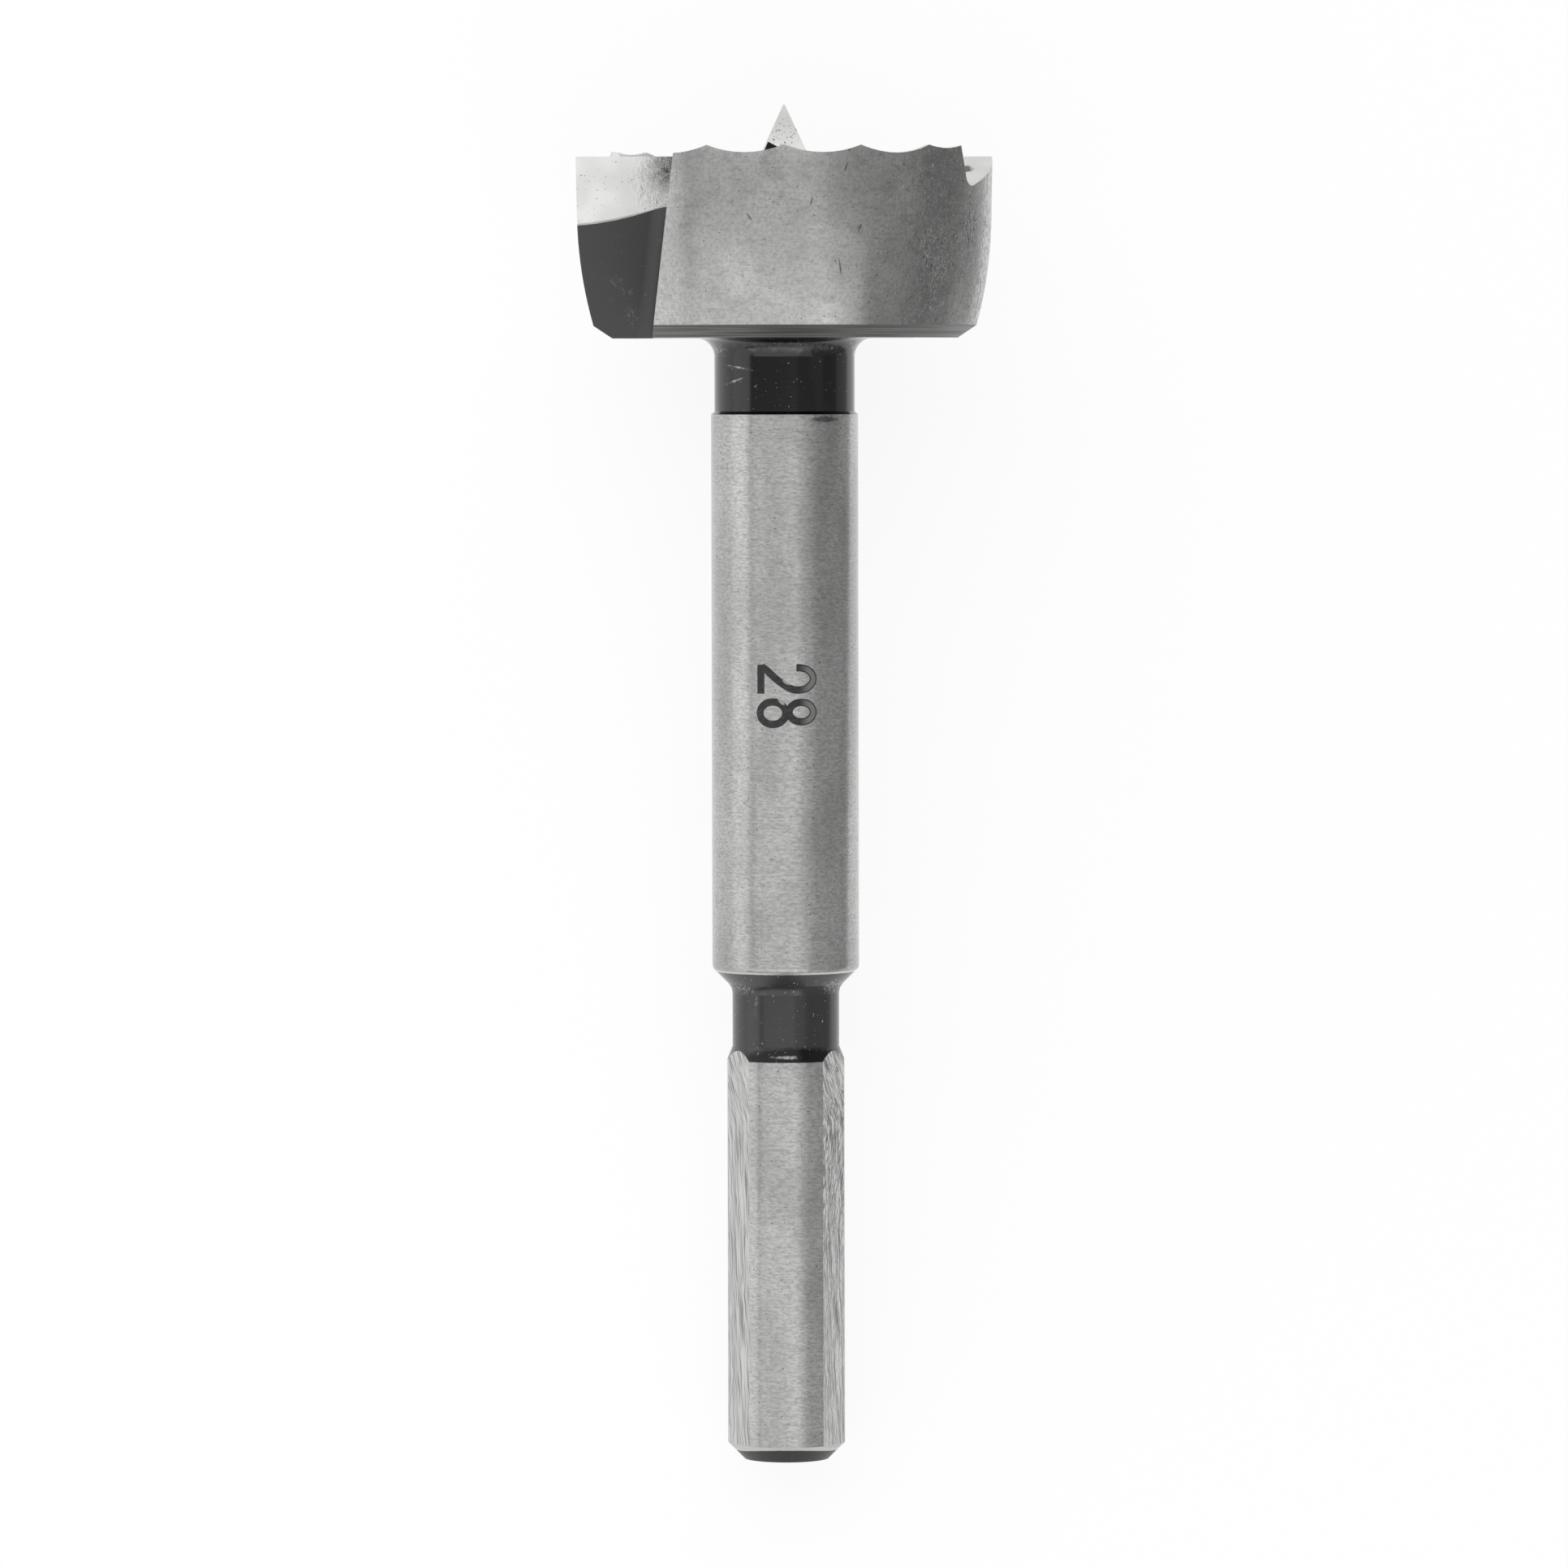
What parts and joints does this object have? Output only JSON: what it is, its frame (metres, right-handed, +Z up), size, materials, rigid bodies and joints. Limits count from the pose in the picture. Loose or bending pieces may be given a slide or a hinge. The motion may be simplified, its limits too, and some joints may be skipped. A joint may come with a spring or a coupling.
{
  "type": "forstner bit",
  "caption": "Forstner bit with a wave-toothed rim, crossing lips, a centre spur and a stepped round shank whose thin end has milled flats.",
  "frame": {"origin": "middle of the tool's bounding box, on the surface that it lies on", "axes": "+Z up from the surface; +Y along the tool from the end of its shank towards the centre spur, with the head end raised by 7.19 degrees because the tool lies on its head's skirt and on the end of one shank flat; +X across"},
  "size_m": [0.0282, 0.0914, 0.0287],
  "materials": {
    "tool_steel": "ground bright on the shanks, rim and lips, with black lacquer on the head's hollows and necks"
  },
  "bodies": {
    "root": {"forstner_bit": "tool_steel"}
  },
  "joints": []
}
